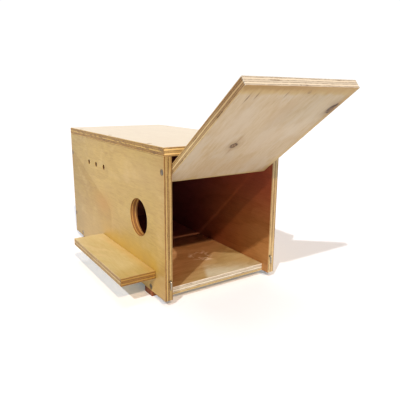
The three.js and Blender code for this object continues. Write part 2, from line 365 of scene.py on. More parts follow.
        m = N.step(N.add(u, wob), lo_u - 2.0, lo_u + 3.0)
        m = N.mul(m, N.step(N.add(u, wob), U - hi_u - 3.5, U - hi_u + 3.5, 1.0, 0.0))
        sidew = N.add(N.mn(N.add(v, 7.0), N.sub(V, v)), wob2)
        m = N.mul(m, N.step(sidew, edge - 4.0, edge + 5.0))
        onface = N.step(w, 0.5, 1.2, 1.0, 0.0) if side == "low" else N.step(w, T - 1.2, T - 0.5)
        m = N.mul(m, N.mul(onface, N.step(nw, 0.5, 0.9)))
        varnished = N.sub(1.0, m)
        col = N.mix(m, col, bcol)
    if knots:
        col = N.mix(N.math("MULTIPLY", knot_dark, 0.90, clamp=True), col, rgb(114, 74, 40))
        col = N.mix(N.math("MULTIPLY", knot_ring, 0.92, clamp=True), col, rgb(58, 31, 13))
    for (u0, v0, len_u, wid, strength, hue) in streaks:
        lean = N.add(N.sub(v, v0), N.mul(N.sub(N.noise(N.vec(N.mul(su, 0.02), 0.0, 1.0), 1.0, 1.0), 0.5), 6.0))
        s = N.mul(N.math("EXPONENT", N.mul(N.math("POWER", N.div(lean, wid), 2.0), -1.0)),
                  N.math("EXPONENT", N.mul(N.math("POWER", N.div(N.sub(u, u0), len_u), 2.0), -1.0)))
        col = N.mix(N.mul(N.mul(s, strength), N.sub(1.0, back) if bare is not None else 1.0), col, hue)
    if face_marks_light_and_shade:
        col = face_marks_light_and_shade(N, u, v, w, nw, col)

    # ---- the edges: five plies, with end grain darker than long grain, and thin glue lines
    wave = N.mul(N.sub(N.noise(N.vec(N.mul(su, 0.02), N.mul(sv, 0.02), 1.5), 1.0, 2.0), 0.5), 0.85)
    wave = N.add(wave, N.mul(N.sub(N.noise(N.vec(N.mul(su, 0.11), N.mul(sv, 0.11), 2.5), 1.0, 1.0), 0.5), 0.14))
    t = N.div(N.add(w, N.mul(wave, N.step(N.mn(w, N.sub(T, w)), 0.3, 2.5))), T)
    bounds = (0.150, 0.385, 0.615, 0.850)
    cross = N.ramp(t, [(0.0, (0, 0, 0, 1)), (bounds[0], (1, 1, 1, 1)), (bounds[1], (0, 0, 0, 1)),
                       (bounds[2], (1, 1, 1, 1)), (bounds[3], (0, 0, 0, 1))], "CONSTANT")
    end_u, end_v = N.step(nu, 0.25, 0.85), N.step(nv, 0.25, 0.85)
    endness = N.add(N.mul(end_u, N.sub(1.0, cross)), N.mul(end_v, cross))
    fib = N.add(N.mul(fib_u, N.sub(1.0, cross)), N.mul(fib_v, cross))
    fib2 = N.add(N.mul(fib_u2, N.sub(1.0, cross)), N.mul(fib_v2, cross))
    e = N.add(N.add(N.mul(N.sub(fib, 0.5), 1.1), N.mul(N.sub(fib2, 0.5), 0.7)), N.mul(endness, 0.60))
    patch = N.noise(N.vec(N.mul(su, 0.018), N.mul(sv, 0.018), N.mul(w, 0.33)), 1.0, 2.0, 0.5)
    e = N.add(e, N.mul(N.sub(patch, 0.5), 0.85))
    e = N.math("ADD", e, 0.10, clamp=True)
    ecol = N.mix(e, edge_light, edge_dark)
    g = None
    for n, bnd in enumerate(bounds):
        d = N.math("ABSOLUTE", N.mul(N.sub(t, bnd), T))
        thick = N.noise(N.vec(N.mul(su, 0.050), N.mul(sv, 0.050), 17.0 * n + 3.3), 1.0, 2.0, 0.6)
        half = N.add(N.add(0.12, N.mul(thick, 0.34)), N.step(thick, 0.60, 0.72, 0.0, 0.36))
        gl = N.step(N.div(d, N.mul(half, lines)), 0.60, 1.25, 1.0, 0.0)
        faint = N.noise(N.vec(N.mul(su, 0.16), N.mul(sv, 0.16), 11.0 * n + 7.9), 1.0, 2.0, 0.6)
        gl = N.mul(gl, N.step(faint, 0.36, 0.54, 0.60, 1.0))
        g = gl if g is None else N.mx(g, gl)
    glue = g
    ecol = N.mix(N.mul(glue, 0.86), ecol, rgb(80, 52, 20))
    # fine saw ticks across the edge
    tick = N.noise(N.vec(N.mul(su, 1.5), N.mul(sv, 1.5), N.mul(w, 0.25)), 1.0, 2.0, 0.6)
    ecol = N.mix(N.mul(N.step(tick, 0.52, 0.68), 0.22), ecol, (edge_dark[0] * 0.62, edge_dark[1] * 0.58, edge_dark[2] * 0.52, 1))

    if edge_marks_and_shade:
        ecol = edge_marks_and_shade(N, u, v, w, ecol, cross, glue)
    onedge = N.mul(N.step(nw, 0.35, 0.85, 1.0, 0.0), N.step(N.mn(w, N.sub(T, w)), 0.05, 0.45))
    col = N.mix(onedge, col, ecol)
    # ---- handling: arrises rubbed a little darker and shinier
    eu, ev, ew = N.mn(u, N.sub(U, u)), N.mn(v, N.sub(V, v)), N.mn(w, N.sub(T, w))
    arris = N.mul(N.step(N.add(eu, ew), 0.2, 1.3, 1.0, 0.0), 1.0)
    arris = N.mx(arris, N.step(N.add(ev, ew), 0.2, 1.3, 1.0, 0.0))
    rubn = N.step(N.noise(N.vec(N.mul(su, 0.05), N.mul(sv, 0.05), N.mul(w, 0.1)), 1.0, 3.0, 0.6), 0.42, 0.66)
    rub = N.mul(arris, N.add(0.12, N.mul(rubn, 0.45)))
    col = N.mix(rub, col, (edge_dark[0] * 0.80, edge_dark[1] * 0.72, edge_dark[2] * 0.66, 1))
    N.put(N.bsdf.inputs["Base Color"], col)

    r = N.add(rough, N.mul(N.sub(fib_u, 0.5), 0.16))
    r = N.add(r, N.mul(onedge, 0.12))
    if varnished is not None:
        r = N.add(r, N.mul(N.sub(1.0, varnished), 0.20))
    N.put(N.bsdf.inputs["Roughness"], N.math("ADD", r, 0.0, clamp=True))
    if coat > 0:
        N.put(N.bsdf.inputs["Coat Weight"], N.mul(N.sub(1.0, onedge), coat))
    N.bsdf.inputs["Coat Roughness"].default_value = 0.28
    N.bsdf.inputs["IOR"].default_value = 1.45

    h = N.add(N.mul(fib_u, 0.30), N.mul(late, -0.18))
    h = N.add(h, N.mul(pores, -0.35))
    he = N.add(N.mul(fib, 0.6), N.mul(fib2, 0.4))
    he = N.add(he, N.mul(endness, -0.25))
    he = N.add(he, N.mul(glue, -0.9))
    h = N.add(N.mul(h, N.sub(1.0, onedge)), N.mul(he, onedge))
    N.put(N.bsdf.inputs["Normal"], N.bump(h, 0.00022, 0.55))
    return N.mat


def hardwood(name, size, seed):
    N = Nodes(name)
    U, V, T = size
    u, v, w = N.split(N.attr("pc"))
    u, v, w = N.mul(u, 1000.0), N.mul(v, 1000.0), N.mul(w, 1000.0)
    nu, nv, nw = N.split(N.attr("pn"))
    su = N.add(u, 331.0 * seed)
    fib = N.noise(N.vec(N.mul(su, 0.018), N.mul(v, 0.9), N.mul(w, 0.9)), 1.0, 4.0, 0.65)
    pores = N.step(N.noise(N.vec(N.mul(su, 0.14), N.mul(v, 3.0), N.mul(w, 3.0)), 1.0, 1.0), 0.62, 0.72)
    band = N.noise(N.vec(N.mul(su, 0.004), N.mul(v, 0.11), N.mul(w, 0.11)), 1.0, 2.0)
    end = N.step(nu, 0.3, 0.85)
    k = N.add(N.mul(N.sub(fib, 0.5), 1.2), N.mul(N.sub(band, 0.5), 1.1))
    k = N.math("ADD", N.add(k, N.mul(end, 0.18)), 0.42, clamp=True)
    col = N.mix(k, rgb(156, 88, 44), rgb(92, 44, 20))
    col = N.mix(N.mul(pores, 0.55), col, rgb(52, 26, 16))
    saw = N.math("SINE", N.add(N.mul(u, 2.1), N.mul(N.noise(N.vec(N.mul(su, 0.1), N.mul(v, 0.1), 0.0)), 6.0)))
    N.put(N.bsdf.inputs["Base Color"], col)
    N.put(N.bsdf.inputs["Roughness"], N.add(0.62, N.mul(N.sub(fib, 0.5), 0.2)))
    N.bsdf.inputs["IOR"].default_value = 1.45
    h = N.add(N.mul(fib, 0.5), N.add(N.mul(pores, -0.6), N.mul(saw, 0.10)))
    N.put(N.bsdf.inputs["Normal"], N.bump(h, 0.00025, 0.6))
    return N.mat


def metal(name, base, stain, roughness, seed=0.0, stain_amount=0.6):
    """Plated steel wire or screws: fine drawing lines, dull patches and specks of tarnish."""
    N = Nodes(name)
    tc = N.t.nodes.new("ShaderNodeTexCoord")
    p = tc.outputs["Object"]
    cloud = N.noise(p, 420.0, 3.0, 0.6)
    speck = N.noise(p, 2600.0, 2.0, 0.6)
    fine = N.noise(p, 7000.0, 1.0, 0.5)
    k = N.mul(N.step(cloud, 0.46, 0.66), stain_amount)
    k = N.mx(k, N.mul(N.step(speck, 0.62, 0.70), 0.8 * stain_amount))
    N.put(N.bsdf.inputs["Base Color"], N.mix(k, base, stain))
    N.bsdf.inputs["Metallic"].default_value = 1.0
    N.put(N.bsdf.inputs["Roughness"], N.add(roughness, N.add(N.mul(k, 0.22), N.mul(N.sub(fine, 0.5), 0.14))))
    N.put(N.bsdf.inputs["Normal"], N.bump(N.add(N.mul(fine, 0.4), speck), 0.00003, 0.6))
    return N.mat


def lin(r, g, b):
    return (r, g, b, 1.0)


# ---------------------------------------------------------------------- boards
def hole(x, y, z, along, r, depth, soft=0.45, sides=32, blind=False):
    """Cutter for a round hole that starts at a surface point, given in mm from the box's corner, and goes along."""
    prof = [(0, -1.0), (r + soft, -1.0)]
    for i in range(5):
        h = soft * (1 - math.sin(math.radians(90 - 22.5 * i)))
        prof.append((r + soft - math.sqrt(max(soft ** 2 - (soft - h) ** 2, 0)), h))
    if blind:
        prof += [(r, depth), (0, depth + 0.6 * r)]
    else:
        for i in range(4, -1, -1):
            h = soft * (1 - math.sin(math.radians(90 - 22.5 * i)))
            prof.append((r + soft - math.sqrt(max(soft ** 2 - (soft - h) ** 2, 0)), depth - h))
        prof += [(r + soft, depth + 1.0), (0, depth + 1.0)]
    bm = lathe([(a * MM, b * MM) for a, b in prof], sides, B(x, y, z), along)
    return bm


def screw_hole(x, y, z, along, through):
    """Countersunk screw hole: a cone that the head sits in, then a shank hole to the depth given."""
    prof = [(0, -1.0), (4.15, -1.0), (4.15, 0.0), (3.92, 0.10), (3.80, 0.40), (1.95, 2.75), (1.95, through)]
    if through < 12:
        prof.append((0, through + 0.5))
    else:
        prof.append((0, through))
    return lathe([(a * MM, b * MM) for a, b in prof], 24, B(x, y, z), along)


def pilot(x, y, z, along, depth):
    """The hole that a screw's shank runs on into, in the second board."""
    return lathe([(0, -1 * MM), (1.95 * MM, -1 * MM), (1.95 * MM, depth * MM), (0, (depth + 1.2) * MM)], 20, B(x, y, z), along)


def board(name, lo, hi, axes, origin, material, arris=0.55, cuts=(), body="box", turn=None):
    """lo, hi and origin in mm from the box's corner. axes are the board's grain, cross and thickness directions."""
    bm = rounded_box(B(*lo), B(*hi), arris * MM)
    obj = new_object(name + "_wood", to_mesh(bm, name))
    subtract(obj, list(cuts))
    soften(obj)
    board_coordinates(obj, B(*origin), axes)
    obj.data.materials.clear()
    obj.data.materials.append(material)
    if turn is not None:
        obj.data.transform(turn)
    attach(obj, body)
    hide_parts(name)
    return obj


X, Y, Z = (1, 0, 0), (0, 1, 0), (0, 0, 1)
NX, NY, NZ = (-1, 0, 0), (0, -1, 0), (0, 0, -1)

WOOD_FACE, WOOD_DEEP = lin(0.555, 0.382, 0.112), lin(0.370, 0.218, 0.045)
EDGE_LIGHT, EDGE_DARK = lin(0.66, 0.475, 0.205), lin(0.275, 0.142, 0.042)


def painted_inner_shade(N, w, nw, col, side, T=12.0, shade_tint=(0.70, 0.33, 0.36)):
    """Painted shade on the face inside the box: darker and redder than the outside, in place of the shade and red
    bounce light in there.
    """
    m = N.step(w, 0.4, 1.2, 1.0, 0.0) if side == "low" else N.step(w, T - 1.2, T - 0.4)
    m = N.mul(m, N.step(nw, 0.5, 0.9))
    return N.mix(m, col, (shade_tint[0], shade_tint[1], shade_tint[2], 1), "MULTIPLY")


def wall_marks_light_and_shade(N, u, v, w, nw, col):
    # a wide curved boundary runs down from the far upper corner: paler above it, warmer and deeper below
    wob = N.mul(N.sub(N.noise(N.vec(N.mul(u, 0.02), N.mul(v, 0.03), 2.0), 1.0, 2.0), 0.5), 14.0)
    line = N.add(N.sub(175.0, N.mul(u, 0.415)), wob)
    outside = N.mul(N.step(w, 0.4, 1.2, 1.0, 0.0), N.step(nw, 0.5, 0.9))
    d = N.math("SMOOTH_MIN", N.sub(line, v), N.mul(N.add(N.sub(200.0, u), N.mul(wob, 0.8)), 0.65), 18.0)
    within = N.mul(N.step(d, 0.0, 2.6), N.step(d, 2.6, 60.0, 1.0, 0.60))
    col = N.mix(N.mul(within, outside), col, (0.84, 0.77, 0.49, 1), "MULTIPLY")
    ring2 = N.mul(N.step(d, -9.0, -7.0), N.step(d, -7.0, -1.0, 1.0, 0.0))
    col = N.mix(N.mul(N.mul(ring2, outside), 0.22), col, lin(0.50, 0.32, 0.11))
    far = N.mul(N.step(u, -20.0, 170.0, 1.0, 0.0), outside)
    col = N.mix(N.mul(far, 0.80), col, (0.73, 0.73, 0.64, 1), "MULTIPLY")
    col = N.mix(N.mul(N.step(u, 345.0, 375.0, 1.0, 0.0), outside), col, (0.955, 0.965, 0.88, 1), "MULTIPLY")
    farlow = N.mul(N.mul(N.step(u, 0.0, 95.0, 1.0, 0.0), N.step(v, 20.0, 150.0, 1.0, 0.0)), outside)
    col = N.mix(farlow, col, (0.76, 0.77, 0.76, 1), "MULTIPLY")
    # painted shade: darker and more orange at the foot of the front edge, under the landing board's front end
    board_end_shade = N.mul(N.mul(N.step(u, 330.0, 362.0), N.step(v, 28.0, 62.0, 1.0, 0.0)), outside)
    col = N.mix(board_end_shade, col, (0.80, 0.73, 0.52, 1), "MULTIPLY")
    right = N.mul(N.mul(N.step(u, 250.0, 350.0), N.step(v, 110.0, 165.0)), outside)
    col = N.mix(right, col, (0.885, 0.89, 0.85, 1), "MULTIPLY")
    blob_u, blob_v = N.div(N.sub(u, 164.0), 36.0), N.div(N.sub(v, 94.0), 18.0)
    blob = N.math("EXPONENT", N.mul(N.add(N.math("POWER", blob_u, 2.0), N.math("POWER", blob_v, 2.0)), -1.0))
    col = N.mix(N.mul(N.mul(blob, outside), 0.62), col, lin(0.55, 0.295, 0.060))
    pink_u, pink_v = N.div(N.sub(u, 330.0), 80.0), N.div(N.sub(v, 168.0), 26.0)
    pink = N.math("EXPONENT", N.mul(N.add(N.math("POWER", pink_u, 2.0), N.math("POWER", pink_v, 2.0)), -1.0))
    col = N.mix(N.mul(N.mul(pink, outside), 0.30), col, lin(0.62, 0.43, 0.20))
    low = N.mul(N.step(N.add(v, N.mul(u, 0.20)), 40.0, 150.0, 1.0, 0.0), outside)
    col = N.mix(N.mul(low, 0.22), col, lin(0.60, 0.42, 0.22))
    # a golden glow painted on the wall just above the landing board's back edge, as bounce light from the board; and a
    # rubbed strip down the front edge
    painted_bounce_glow = N.mul(N.mul(N.step(v, 36.0, 74.0, 1.0, 0.0), N.step(v, 33.0, 36.0)), N.mul(N.step(u, 130.0, 190.0), N.step(u, 352.0, 378.0, 1.0, 0.0)))
    col = N.mix(N.mul(N.mul(painted_bounce_glow, outside), 0.66), col, lin(0.66, 0.42, 0.066))
    cloud = N.noise(N.vec(N.mul(u, 0.020), N.mul(v, 0.028), 21.0), 1.0, 4.0, 0.6)
    col = N.mix(N.mul(N.mul(N.step(cloud, 0.50, 0.74), outside), 0.34), col, lin(0.47, 0.31, 0.105))
    col = N.mix(N.mul(N.mul(N.step(cloud, 0.48, 0.26), outside), 0.34), col, lin(0.64, 0.49, 0.235))
    col = N.mix(N.mul(N.mul(blob, outside), 0.85), col, (0.90, 0.86, 0.68, 1), "MULTIPLY")
    front = N.mul(N.step(N.add(u, N.mul(N.sub(cloud, 0.5), 20.0)), 366.0, 384.0), outside)
    col = N.mix(N.mul(front, 0.30), col, lin(0.42, 0.25, 0.075))
    # painted shade on the face inside the box
    col = painted_inner_shade(N, w, nw, col, "high")
    return screw_ring_crush_and_shade(N, u, v, w, col, "low")


def screw_ring_crush_and_shade(N, u, v, w, col, side):
    """A dark ring round each screw head on a long wall's outer face: partly slightly crushed fibres, partly painted
    shade in the countersink round the head.
    """
    near = N.step(w, 2.6, 3.0, 1.0, 0.0) if side == "low" else N.step(w, 9.0, 9.4)
    m = None
    for su, sv in ((379.6, 181.0), (6.0, 165.0), (6.0, 40.0), (342.0, 6.0), (193.0, 6.0), (41.0, 6.0)):
        r = N.math("SQRT", N.add(N.math("POWER", N.sub(u, su), 2.0), N.math("POWER", N.sub(v, sv), 2.0)))
        d = N.step(r, 4.1, 5.0, 1.0, 0.0)
        m = d if m is None else N.mx(m, d)
    return N.mix(N.mul(N.mul(m, near), 0.80), col, lin(0.075, 0.040, 0.012))


def wall_edges(N, u, v, w, ecol, cross, glue):
    # the entrance hole and the vents were cut hot and left rough: the hole's walls are browner than the sawn outer
    # edges; the vents' walls are darkened much further, which is painted shade inside the narrow holes
    r = N.math("SQRT", N.add(N.math("POWER", N.sub(u, 305.3), 2.0), N.math("POWER", N.sub(v, 102.5), 2.0)))
    grain = N.noise(N.vec(N.mul(u, 0.5), N.mul(v, 0.5), N.mul(w, 1.1)), 1.0, 3.0, 0.65)
    cut = N.mix(cross, lin(0.25, 0.095, 0.018), lin(0.45, 0.245, 0.060))
    cut = N.mix(N.mul(N.step(grain, 0.42, 0.66), 0.45), cut, lin(0.24, 0.10, 0.03))
    cut = N.mix(N.mul(glue, 0.90), cut, lin(0.055, 0.022, 0.010))
    ecol = N.mix(N.step(r, 31.0, 33.0, 1.0, 0.0), ecol, cut)
    outer = N.mul(N.step(w, 0.8, 2.4, 1.0, 0.0), N.step(u, 383.0, 384.5))
    ecol = N.mix(outer, ecol, (0.88, 0.68, 0.46, 1), "MULTIPLY")
    vent_wall_shade = N.mul(N.step(v, 150.0, 152.0), N.step(v, 165.0, 167.0, 1.0, 0.0))
    vent_wall_shade = N.mul(vent_wall_shade, N.mul(N.step(u, 92.0, 94.0), N.step(u, 180.0, 182.0, 1.0, 0.0)))
    return N.mix(vent_wall_shade, ecol, (0.36, 0.19, 0.10, 1), "MULTIPLY")


def board_edges(N, u, v, w, ecol, cross, glue):
    # the sawn end by the entrance hole has taken up more varnish
    return N.mix(N.step(u, 198.0, 200.5), ecol, (0.67, 0.52, 0.23, 1), "MULTIPLY")


def hatch_edges(N, u, v, w, ecol, cross, glue):
    # the free end is paler, apart from the glue lines
    pale_patch = N.mul(N.mul(N.step(u, 202.5, 204.6), N.sub(1.0, N.mul(glue, 0.9))), 0.60)
    sides = N.step(N.mn(v, N.sub(174.4, v)), 0.4, 1.4, 1.0, 0.0)
    sides = N.mul(sides, N.step(u, 203.4, 204.2, 1.0, 0.0))
    ecol = N.mix(sides, ecol, (0.88, 0.82, 0.61, 1), "MULTIPLY")
    ecol = N.mix(N.mul(sides, N.step(w, 8.4, 9.8)), ecol, (0.84, 0.76, 0.60, 1), "MULTIPLY")
    ecol = N.mix(N.mul(sides, N.step(u, 90.0, 190.0)), ecol, (0.70, 0.62, 0.56, 1), "MULTIPLY")
    return N.mix(pale_patch, ecol, lin(0.60, 0.60, 0.53))


def hatch_marks(N, u, v, w, nw, col):
    # the bare inner face: two bleached patches, a warmer foot by the pivot, and varnish soaked in round the border
    on = N.mul(N.step(w, 0.4, 1.2, 1.0, 0.0), N.step(nw, 0.5, 0.9))

    def blob(u0, v0, ru, rv, seed):
        du, dv = N.div(N.sub(u, u0), ru), N.div(N.sub(v, v0), rv)
        n = N.noise(N.vec(N.mul(u, 0.035), N.mul(v, 0.055), seed), 1.0, 4.0, 0.62)
        e = N.add(N.add(N.math("POWER", du, 2.0), N.math("POWER", dv, 2.0)), N.mul(N.sub(n, 0.5), 2.4))
        return N.mul(N.step(e, -0.2, 1.5, 1.0, 0.0), on)

    col = N.mix(N.mul(blob(142.0, 138.0, 42.0, 24.0, 3.0), 0.36), col, lin(0.66, 0.585, 0.455))
    dim = N.mul(N.mul(N.step(u, 110.0, 160.0), N.step(v, 70.0, 120.0)), on)
    col = N.mix(dim, col, (0.90, 0.905, 0.88, 1), "MULTIPLY")
    col = N.mix(N.mul(blob(132.0, 34.0, 44.0, 22.0, 5.0), 0.50), col, lin(0.62, 0.535, 0.405))
    col = N.mix(N.mul(blob(96.0, 104.0, 34.0, 20.0, 9.0), 0.45), col, lin(0.63, 0.53, 0.39))
    col = N.mix(N.mul(blob(34.0, 78.0, 26.0, 60.0, 7.0), 0.28), col, lin(0.52, 0.375, 0.20))
    col = N.mix(N.mul(blob(150.0, 88.0, 30.0, 16.0, 13.0), 0.45), col, lin(0.47, 0.345, 0.205))
    soak = N.noise(N.vec(N.mul(u, 0.05), N.mul(v, 0.12), 17.0), 1.0, 3.0, 0.6)
    end = N.step(N.add(u, N.mul(N.sub(soak, 0.5), 16.0)), 188.0, 201.0)
    side = N.step(N.add(v, N.mul(N.sub(soak, 0.5), 10.0)), 164.0, 173.0)
    side = N.mul(side, N.step(u, 90.0, 190.0))
    col = N.mix(N.mul(N.mul(N.mx(end, side), on), 0.80), col, lin(0.42, 0.26, 0.078))
    stain = N.mul(N.mul(N.step(N.add(u, N.mul(N.sub(soak, 0.5), 9.0)), 195.0, 202.0), N.step(v, 60.0, 130.0, 1.0, 0.0)), on)
    return N.mix(stain, col, (0.84, 0.76, 0.58, 1), "MULTIPLY")


def board_marks(N, u, v, w, nw, col):
    a = N.noise(N.vec(N.mul(N.add(u, N.mul(v, 1.5)), 0.016), N.mul(N.sub(v, N.mul(u, 0.35)), 0.055), 6.0), 1.0, 3.0, 0.55)
    col = N.mix(N.mul(N.step(a, 0.48, 0.68), 0.55), col, lin(0.66, 0.53, 0.31))
    b = N.noise(N.vec(N.mul(N.add(u, N.mul(v, 1.2)), 0.02), N.mul(N.sub(v, N.mul(u, 0.30)), 0.08), 16.0), 1.0, 2.0, 0.5)
    col = N.mix(N.mul(N.step(b, 0.52, 0.70), 0.35), col, lin(0.48, 0.36, 0.125))
    back = N.mul(N.step(v, 34.0, 52.0), 0.55)
    col = N.mix(back, col, lin(0.52, 0.33, 0.085))
    col = N.mix(N.mul(N.step(u, 0.0, 60.0, 1.0, 0.0), 0.45), col, lin(0.66, 0.54, 0.29))
    return N.mix(N.mul(N.step(u, 150.0, 196.0), 0.95), col, (0.84, 0.77, 0.56, 1), "MULTIPLY")


def rear_shade_and_marks(N, u, v, w, nw, col):
    # painted shade inside: the inner face darker and redder, less so towards the open front where the light comes in
    pale = N.mul(N.step(u, 250.0, 386.0), N.step(v, 30.0, 130.0, 1.0, 0.12))
    deep = painted_inner_shade(N, w, nw, col, "low")
    inside = N.mul(N.step(w, 0.4, 1.2, 1.0, 0.0), N.step(nw, 0.5, 0.9))
    out = N.mix(N.mul(pale, 0.75), deep, painted_inner_shade(N, w, nw, col, "low", shade_tint=(0.78, 0.56, 0.56)))
    # painted shade: darker higher up the inner face
    out = N.mix(N.mul(inside, N.step(v, 70.0, 165.0)), out, (0.88, 0.58, 0.85, 1), "MULTIPLY")
    out = screw_ring_crush_and_shade(N, u, v, w, out, "high")
    # painted shade: darker towards the closed end
    return N.mix(N.mul(inside, N.step(u, 120.0, 310.0, 1.0, 0.0)), out, (0.57, 0.47, 1.45, 1), "MULTIPLY")


def floor_edges(N, u, v, w, ecol, cross, glue):
    # the lowest ply of the front face has kept its golden varnish, the ones above are worn pinkish cream
    low = N.step(w, 2.4, 4.2, 1.0, 0.0)
    ecol = N.mix(low, ecol, (0.92, 0.76, 0.42, 1), "MULTIPLY")
    breaks = N.step(N.noise(N.vec(N.mul(u, 0.055), 4.0, N.mul(w, 0.6)), 1.0, 2.0, 0.6), 0.44, 0.60)
    ecol = N.mix(N.mul(N.mul(glue, breaks), 0.55), ecol, lin(0.62, 0.49, 0.35))
    top = N.mul(N.step(w, 8.6, 10.6), N.sub(1.0, glue))
    return N.mix(N.mul(top, 0.35), ecol, lin(0.95, 0.90, 0.84))


def floor_light_shade_and_marks(N, u, v, w, nw, col):
    # painted shade: redder and darker in the depth; painted light where the sun comes in over the sill
    painted_sunlit = N.step(N.add(v, N.mul(u, 0.63)), 335.0, 400.0)
    deep = painted_inner_shade(N, w, nw, col, "high", shade_tint=(0.80, 0.61, 0.88))
    col = N.mix(painted_sunlit, deep, painted_inner_shade(N, w, nw, col, "high", shade_tint=(0.83, 0.86, 1.26)))
    top = N.mul(N.step(w, 11.0, 11.7), N.step(nw, 0.5, 0.9))
    # painted shade: darker and redder further into the box
    col = N.mix(N.mul(top, N.step(v, 120.0, 235.0, 1.0, 0.0)), col, (0.62, 0.38, 0.80, 1), "MULTIPLY")
    # pale irregular marks near the middle of the floor
    e = N.add(N.math("POWER", N.div(N.sub(u, 110.0), 23.0), 2.0), N.math("POWER", N.div(N.sub(v, 277.0), 27.0), 2.0))
    n = N.noise(N.vec(N.mul(u, 0.070), N.mul(v, 0.150), 3.0), 1.0, 3.0, 0.5, 0.8)
    s = N.mul(N.mul(N.step(e, 0.2, 1.2, 1.0, 0.0), N.step(n, 0.50, 0.66)), top)
    # painted light: a pale lit patch, nearly white, behind the middle of the front edge
    k = N.noise(N.vec(N.mul(u, 0.030), N.mul(v, 0.060), 8.0), 1.0, 2.0, 0.5)
    near = N.sub(v, N.mul(N.mx(N.sub(u, 95.0), 0.0), 0.40))
    pale_patch = N.step(N.add(near, N.mul(N.sub(k, 0.5), 26.0)), 306.0, 352.0)
    pale_patch = N.mul(pale_patch, N.step(N.add(u, N.mul(N.sub(v, 350.0), 0.48)), 68.0, 77.0))
    col = N.mix(N.mul(pale_patch, top), col, (1.37, 1.80, 3.10, 1), "MULTIPLY")
    return N.mix(N.mul(s, 0.70), col, lin(0.92, 0.76, 0.60))


def end_inner_shade(N, u, v, w, nw, col):
    # painted shade: the inner face of the closed end made dark and reddish
    return painted_inner_shade(N, w, nw, col, "high", shade_tint=(0.48, 0.20, 0.44))


def roof_inner_shade(N, u, v, w, nw, col):
    # painted shade on the ceiling inside the box
    return painted_inner_shade(N, w, nw, col, "low")


def roof_edges(N, u, v, w, ecol, cross, glue):
    # the long edges are darker, with torn dark patches in the inner plies; the front edge is cleaner and paler
    longs = N.step(N.mn(v, N.sub(200.0, v)), 0.4, 1.4, 1.0, 0.0)
    front = N.mul(N.step(u, 384.6, 385.6), N.sub(1.0, longs))
    ecol = N.mix(longs, ecol, (0.88, 0.79, 0.47, 1), "MULTIPLY")
    n = N.noise(N.vec(N.mul(N.add(u, N.mul(w, 1.7)), 0.075), N.mul(w, 0.22), 9.0), 1.0, 3.0, 0.6)
    torn = N.mul(N.mul(N.step(n, 0.50, 0.57), N.step(w, 1.4, 2.4)), N.step(w, 9.4, 10.4, 1.0, 0.0))
    ecol = N.mix(N.mul(N.mul(torn, longs), 0.72), ecol, lin(0.20, 0.105, 0.028))
    pale = N.mul(N.mul(front, N.sub(1.0, N.mul(glue, 0.8))), N.add(0.12, N.mul(cross, 0.46)))
    return N.mix(pale, ecol, lin(0.92, 0.66, 0.27))


# screws: (node, head point, direction into the wood, length, body)
LONG, SHORT = 32.0, 17.0
ROW = LENGTH / MM
SCREWS = []
for side, y, d in (("left", 0.0, Y), ("right", 200.0, NY)):
    SCREWS.append((f"pivot_screw_{side}", (-6.4, y, 181.0), d, LONG, "hatch"))
    SCREWS.append((f"end_screw_{side}_upper", (-380.0, y, 165.0), d, LONG, "box"))
    SCREWS.append((f"end_screw_{side}_lower", (-380.0, y, 40.0), d, LONG, "box"))
    for where, x in (("front", -44.0), ("middle", -193.0), ("rear", -345.0)):
        SCREWS.append((f"floor_screw_{side}_{where}", (x, y, 6.0), d, LONG, "box"))
for side, y in (("left", 6.0), ("right", 194.0)):
    for where, x in (("front", -52.0), ("middle", -193.0), ("rear", -336.0)):
        SCREWS.append((f"roof_screw_{side}_{where}", (x, y, 214.1), NZ, LONG, "box"))
for where, x in (("front", -70.0), ("rear", -187.0)):
    SCREWS.append((f"landing_board_screw_{where}", (x, 12.0, 30.5), NY, LONG, "box"))
for where, x in (("front", -53.0), ("rear", -333.0)):
    for side, y in (("left", 50.0), ("right", 150.0)):
        SCREWS.append((f"batten_screw_{where}_{side}", (x, y, -9.0), Z, SHORT, "box"))

# ---- entrance wall
cuts = [hole(-80.7, 0, 102.5, Y, 28.5, 12, 0.7, 96)]
for x in (-286.0, -250.0, -213.8):
    cuts.append(hole(x, 0, 158.6, Y, 4.25, 12, 0.35, 36))
for node, at, d, ln, body in SCREWS:
    if node.startswith(("pivot_screw_left", "end_screw_left", "floor_screw_left")):
        cuts.append(screw_hole(*at, d, 13.0))
for x in (-70.0, -187.0):
    cuts.append(screw_hole(x, 12.0, 30.5, NY, 13.0))
cuts.append(pilot(0, 8.2, 28.5, NX, 16.5))
for node, at, d, ln, body in SCREWS:
    if node.startswith("roof_screw_left"):
        cuts.append(pilot(at[0], at[1], 202.0, NZ, ln - 12.1 + 0.6))
board("entrance_wall", (-386, 0, 0), (0, 12, 202), (X, Z, Y), (-386, 0, 0),
      plywood("wall_ply", (386, 202, 12), 1.0, WOOD_FACE, WOOD_DEEP, lin(0.51, 0.36, 0.130), lin(0.185, 0.094, 0.024), figure=0.55,
              face_marks_light_and_shade=wall_marks_light_and_shade, edge_marks_and_shade=wall_edges, lines=1.30, rings=5.0, coat=0.08), cuts=cuts)

